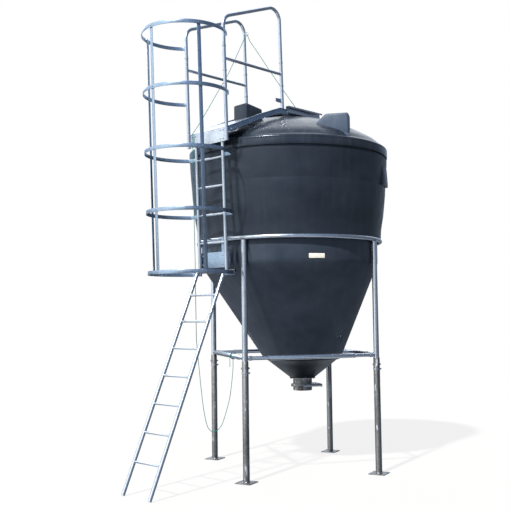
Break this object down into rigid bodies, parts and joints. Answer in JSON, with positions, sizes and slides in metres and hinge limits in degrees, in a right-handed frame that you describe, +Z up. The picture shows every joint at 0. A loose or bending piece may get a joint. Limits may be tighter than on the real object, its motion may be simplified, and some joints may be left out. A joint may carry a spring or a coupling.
{
  "type": "feed silo",
  "caption": "Free-standing feed silo: a black moulded tank with an offset hopper on a tube frame, with a slide gate, a caged ladder and handrails.",
  "frame": {"origin": "on the ground under the middle of the whole silo's plan, ladder and cage included", "axes": "+Z up; X and Y along the sides of the square of legs, +X the way the slide gate is pulled; the ladder is towards -X and -Y"},
  "size_m": [3.2146, 2.4729, 5.1876],
  "materials": {
    "black_plastic": "semi-gloss, weathered",
    "galvanised_steel": "galvanised",
    "weathered_steel": "galvanised, weathered",
    "cage_steel": "galvanised, dull",
    "pull_rope": "laid rope"
  },
  "bodies": {
    "silo": {"drum_wall": "black_plastic", "hopper": "black_plastic", "outlet_cone": "black_plastic", "roof": "black_plastic", "lid": "black_plastic", "top_ring": "galvanised_steel", "ring_stub": "galvanised_steel", "upper_leg_rear_left": "galvanised_steel", "upper_leg_front_left": "galvanised_steel", "upper_leg_front_right": "galvanised_steel", "upper_leg_rear_right": "galvanised_steel", "cross_tube_front": "galvanised_steel", "cross_tube_rear": "galvanised_steel", "cross_tube_left": "galvanised_steel", "cross_tube_right": "galvanised_steel", "spout": "galvanised_steel", "gate_frame": "galvanised_steel", "upper_ladder": "galvanised_steel", "lower_ladder": "galvanised_steel", "ladder_bar": "galvanised_steel", "ladder_plate": "galvanised_steel", "handrail_left": "galvanised_steel", "handrail_right": "galvanised_steel", "roof_channel_left": "galvanised_steel", "roof_channel_right": "galvanised_steel", "step_plate": "galvanised_steel", "rope_eye": "galvanised_steel", "lower_leg_rear_left": "weathered_steel", "lower_leg_front_left": "weathered_steel", "lower_leg_front_right": "weathered_steel", "lower_leg_rear_right": "weathered_steel", "cage_hoop_1": "cage_steel", "cage_hoop_2": "cage_steel", "cage_hoop_3": "cage_steel", "cage_hoop_4": "cage_steel", "cage_hoop_5": "cage_steel", "cage_bar_left": "cage_steel", "cage_bar_middle": "cage_steel", "cage_bar_right": "cage_steel", "roof_beam_left": "cage_steel", "roof_beam_right": "cage_steel", "rope": "pull_rope", "rope_knot_frame": "pull_rope", "rope_knot_lid": "pull_rope"},
    "gate": {"slide_gate": "weathered_steel"}
  },
  "joints": [
    {"name": "gate_slide", "type": "slide", "parent": "silo", "child": "gate", "axis": [1, 0, 0], "range_m": [0, 0.21]}
  ]
}
